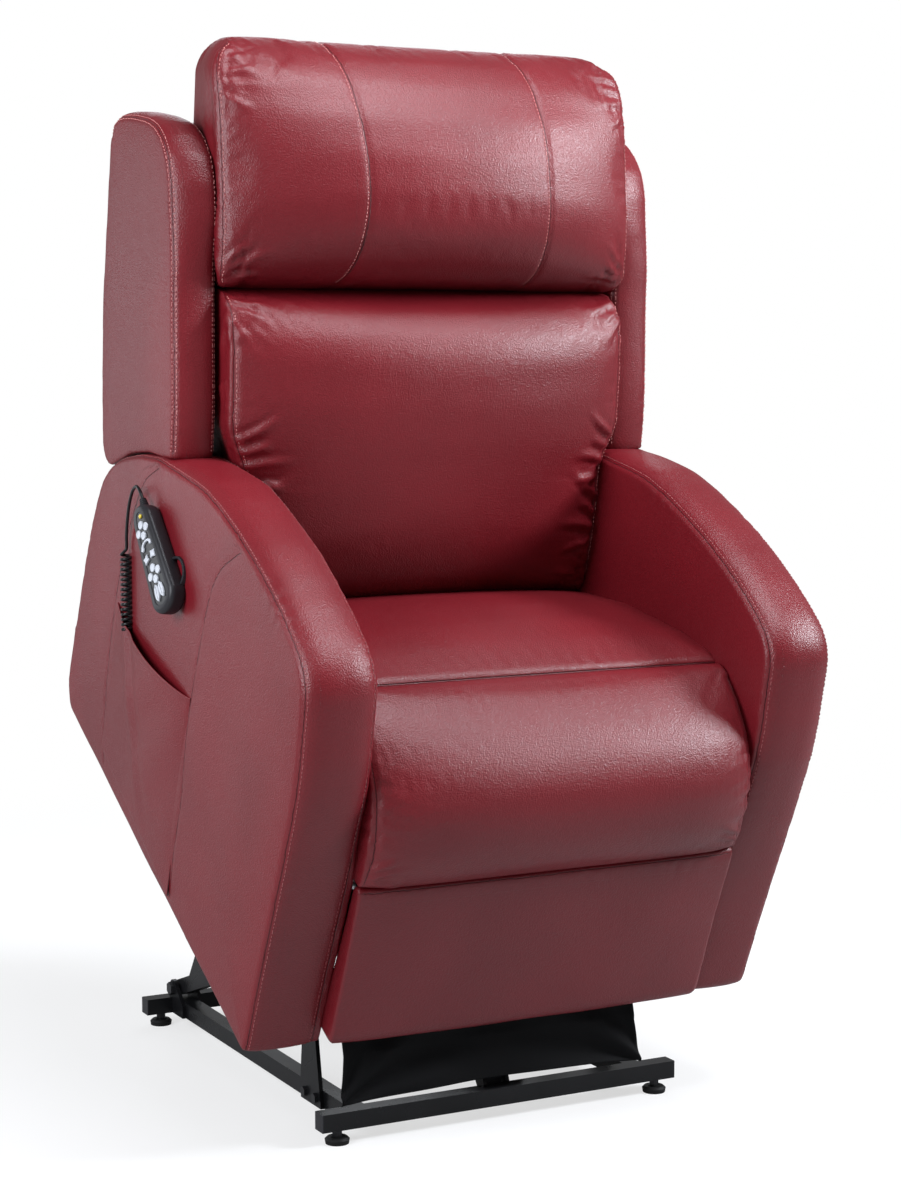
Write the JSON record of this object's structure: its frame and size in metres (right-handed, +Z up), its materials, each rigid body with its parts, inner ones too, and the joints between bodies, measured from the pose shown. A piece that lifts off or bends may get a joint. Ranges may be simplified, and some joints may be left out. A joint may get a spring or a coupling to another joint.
{
  "type": "lift recliner chair",
  "caption": "Upholstered lift recliner chair on a tubular steel base, raised and tilted forward, with footrest, reclining back and hand control.",
  "frame": {"origin": "on the floor, at the middle of the raised chair's bounding box without its lead", "axes": "+Z up, the chair faces -Y, +X to the right of someone looking at its front; the hand control is on the -X arm"},
  "size_m": [0.838, 0.9154, 1.5363],
  "materials": {
    "base_steel": "black powder coat",
    "grey_plate": "grey powder coat",
    "black_plastic": "fine texture",
    "foot_rubber": "matte",
    "zinc": "zinc plated",
    "guard_fabric": "black knit",
    "mechanism_steel": "black satin paint",
    "plywood": "raw plywood",
    "leather": "pebbled burgundy upholstery",
    "cord_pvc": "satin PVC",
    "key_white": "moulded white"
  },
  "bodies": {
    "base": {"front_cross_tube": "base_steel", "rear_cross_tube": "base_steel", "side_rails": "base_steel", "tube_end_caps": "black_plastic", "glide_feet": "foot_rubber", "foot_studs": "zinc", "front_uprights": "grey_plate", "rear_pivot_brackets": "base_steel", "base_pivot_bolts": "zinc", "fabric_guard": "guard_fabric"},
    "lift_arms": {"rear_lift_arms": "base_steel", "torque_tube": "base_steel"},
    "front_links": {"front_links": "base_steel"},
    "lift_motor": {"lift_motor": "black_plastic"},
    "lift_rod": {"lift_rod": "zinc"},
    "chair": {"lift_frame": "base_steel", "mechanism_plates": "mechanism_steel", "mechanism_tubes": "mechanism_steel", "chair_pivot_pins": "zinc", "seat_box": "plywood", "seat_springs": "zinc", "seat_cushion": "leather", "left_arm": "leather", "right_arm": "leather", "side_pocket": "leather", "handset_body": "black_plastic", "handset_cord": "cord_pvc", "control_box": "black_plastic"},
    "drive_links": {"drive_links": "mechanism_steel"},
    "idler_links": {"idler_links": "mechanism_steel"},
    "board_links": {"board_links": "mechanism_steel"},
    "steer_links": {"steer_links": "mechanism_steel"},
    "footrest": {"footrest_plate": "mechanism_steel", "footrest_pad": "leather"},
    "chaise": {"chaise_pad": "leather"},
    "footrest_motor": {"footrest_motor": "black_plastic"},
    "footrest_rod": {"footrest_rod": "zinc"},
    "recline_motor": {"recline_motor": "black_plastic"},
    "recline_rod": {"recline_rod": "zinc"},
    "backrest": {"back_frame": "mechanism_steel", "back_shell": "leather", "left_wing": "leather", "right_wing": "leather", "lumbar_cushion": "leather"},
    "headrest": {"head_pillow": "leather"},
    "key_a1": {"key_a1": "key_white"},
    "key_a2": {"key_a2": "key_white"},
    "key_a3": {"key_a3": "key_white"},
    "key_a4": {"key_a4": "key_white"},
    "key_b1": {"key_b1": "key_white"},
    "key_c1": {"key_c1": "key_white"},
    "key_c2": {"key_c2": "key_white"},
    "key_d1": {"key_d1": "key_white"},
    "key_d2": {"key_d2": "key_white"},
    "key_d3": {"key_d3": "key_white"},
    "key_d4": {"key_d4": "key_white"},
    "key_e1": {"key_e1": "key_white"},
    "key_e2": {"key_e2": "key_white"}
  },
  "joints": [
    {"name": "chair_lift", "type": "hinge", "parent": "base", "child": "lift_arms", "pos_m": [0.017, 0.42522, 0.061], "axis": [1, 0, 0], "range_deg": [0, 19.19], "deforming": ["fabric_guard"]},
    {"name": "chair_pivot", "type": "hinge", "parent": "lift_arms", "child": "chair", "pos_m": [0.017, -0.12978, 0.25827], "axis": [1, 0, 0], "range_deg": [-47.39, 0]},
    {"name": "front_link_swing", "type": "hinge", "parent": "base", "child": "front_links", "pos_m": [0.017, -0.10878, 0.155], "axis": [1, 0, 0], "range_deg": [0, 42.51]},
    {"name": "lift_motor_tilt", "type": "hinge", "parent": "base", "child": "lift_motor", "pos_m": [0.017, -0.20878, 0.055], "axis": [1, 0, 0], "range_deg": [-5.01, 0]},
    {"name": "lift_rod_stroke", "type": "slide", "parent": "lift_motor", "child": "lift_rod", "axis": [0, 0.939, 0.3438], "range_m": [-0.06343, 0]},
    {"name": "footrest_extend", "type": "hinge", "parent": "chair", "child": "drive_links", "pos_m": [0.017, -0.22628, 0.43358], "axis": [-1, 0, 0], "range_deg": [0, 90]},
    {"name": "idler_swing", "type": "hinge", "parent": "chair", "child": "idler_links", "pos_m": [0.017, -0.28104, 0.45808], "axis": [-1, 0, 0], "range_deg": [0, 90]},
    {"name": "board_link_pivot", "type": "hinge", "parent": "drive_links", "child": "board_links", "pos_m": [0.017, -0.12876, 0.27932], "axis": [-1, 0, 0], "range_deg": [-90, 0]},
    {"name": "steer_link_pivot", "type": "hinge", "parent": "idler_links", "child": "steer_links", "pos_m": [0.017, -0.15948, 0.26578], "axis": [-1, 0, 0], "range_deg": [-90, 0]},
    {"name": "footrest_tilt", "type": "hinge", "parent": "board_links", "child": "footrest", "pos_m": [0.017, -0.32264, 0.36605], "axis": [-1, 0, 0], "range_deg": [0, 90]},
    {"name": "chaise_tilt", "type": "hinge", "parent": "chair", "child": "chaise", "pos_m": [0.017, -0.33623, 0.64922], "axis": [-1, 0, 0], "range_deg": [0, 42.3]},
    {"name": "footrest_motor_tilt", "type": "hinge", "parent": "chair", "child": "footrest_motor", "pos_m": [0.107, 0.14215, 0.61411], "axis": [1, 0, 0], "range_deg": [-0.165, 0]},
    {"name": "footrest_rod_stroke", "type": "slide", "parent": "footrest_motor", "child": "footrest_rod", "axis": [0, -0.8691, -0.4947], "range_m": [0, 0.04948]},
    {"name": "back_recline", "type": "hinge", "parent": "chair", "child": "backrest", "pos_m": [0.017, 0.19139, 0.69157], "axis": [-1, 0, 0], "range_deg": [0, 38]},
    {"name": "recline_motor_tilt", "type": "hinge", "parent": "chair", "child": "recline_motor", "pos_m": [-0.073, -0.12397, 0.4544], "axis": [1, 0, 0], "range_deg": [-0.4256, 0]},
    {"name": "recline_rod_stroke", "type": "slide", "parent": "recline_motor", "child": "recline_rod", "axis": [0, 0.9033, 0.4291], "range_m": [-0.05527, 0]},
    {"name": "headrest_tilt", "type": "hinge", "parent": "backrest", "child": "headrest", "pos_m": [0.017, -0.00584, 1.17567], "axis": [1, 0, 0], "range_deg": [0, 25]},
    {"name": "key_a1_press", "type": "slide", "parent": "chair", "child": "key_a1", "axis": [1, 0, 0], "range_m": [0, 0.001], "stiffness_N_per_m": 300},
    {"name": "key_a2_press", "type": "slide", "parent": "chair", "child": "key_a2", "axis": [1, 0, 0], "range_m": [0, 0.001], "stiffness_N_per_m": 300},
    {"name": "key_a3_press", "type": "slide", "parent": "chair", "child": "key_a3", "axis": [1, 0, 0], "range_m": [0, 0.001], "stiffness_N_per_m": 300},
    {"name": "key_a4_press", "type": "slide", "parent": "chair", "child": "key_a4", "axis": [1, 0, 0], "range_m": [0, 0.001], "stiffness_N_per_m": 300},
    {"name": "key_b1_press", "type": "slide", "parent": "chair", "child": "key_b1", "axis": [1, 0, 0], "range_m": [0, 0.001], "stiffness_N_per_m": 300},
    {"name": "key_c1_press", "type": "slide", "parent": "chair", "child": "key_c1", "axis": [1, 0, 0], "range_m": [0, 0.001], "stiffness_N_per_m": 300},
    {"name": "key_c2_press", "type": "slide", "parent": "chair", "child": "key_c2", "axis": [1, 0, 0], "range_m": [0, 0.001], "stiffness_N_per_m": 300},
    {"name": "key_d1_press", "type": "slide", "parent": "chair", "child": "key_d1", "axis": [1, 0, 0], "range_m": [0, 0.001], "stiffness_N_per_m": 300},
    {"name": "key_d2_press", "type": "slide", "parent": "chair", "child": "key_d2", "axis": [1, 0, 0], "range_m": [0, 0.001], "stiffness_N_per_m": 300},
    {"name": "key_d3_press", "type": "slide", "parent": "chair", "child": "key_d3", "axis": [1, 0, 0], "range_m": [0, 0.001], "stiffness_N_per_m": 300},
    {"name": "key_d4_press", "type": "slide", "parent": "chair", "child": "key_d4", "axis": [1, 0, 0], "range_m": [0, 0.001], "stiffness_N_per_m": 300},
    {"name": "key_e1_press", "type": "slide", "parent": "chair", "child": "key_e1", "axis": [1, 0, 0], "range_m": [0, 0.001], "stiffness_N_per_m": 300},
    {"name": "key_e2_press", "type": "slide", "parent": "chair", "child": "key_e2", "axis": [1, 0, 0], "range_m": [0, 0.001], "stiffness_N_per_m": 300}
  ],
  "couplings": [
    {"joint": "chair_pivot", "follows": "chair_lift", "ratio": -2.4696},
    {"joint": "front_link_swing", "follows": "chair_lift", "ratio": 2.2152},
    {"joint": "lift_motor_tilt", "follows": "chair_lift", "ratio": -0.26098},
    {"joint": "lift_rod_stroke", "follows": "chair_lift", "m_per_rad": -0.18939},
    {"joint": "idler_swing", "follows": "footrest_extend", "ratio": 1},
    {"joint": "board_link_pivot", "follows": "footrest_extend", "ratio": -1},
    {"joint": "steer_link_pivot", "follows": "footrest_extend", "ratio": -1},
    {"joint": "footrest_tilt", "follows": "footrest_extend", "ratio": 1},
    {"joint": "chaise_tilt", "follows": "footrest_extend", "ratio": 0.47},
    {"joint": "footrest_motor_tilt", "follows": "footrest_extend", "ratio": -0.001833},
    {"joint": "footrest_rod_stroke", "follows": "footrest_extend", "m_per_rad": 0.031502},
    {"joint": "recline_motor_tilt", "follows": "back_recline", "ratio": -0.011201},
    {"joint": "recline_rod_stroke", "follows": "back_recline", "m_per_rad": -0.083337}
  ]
}
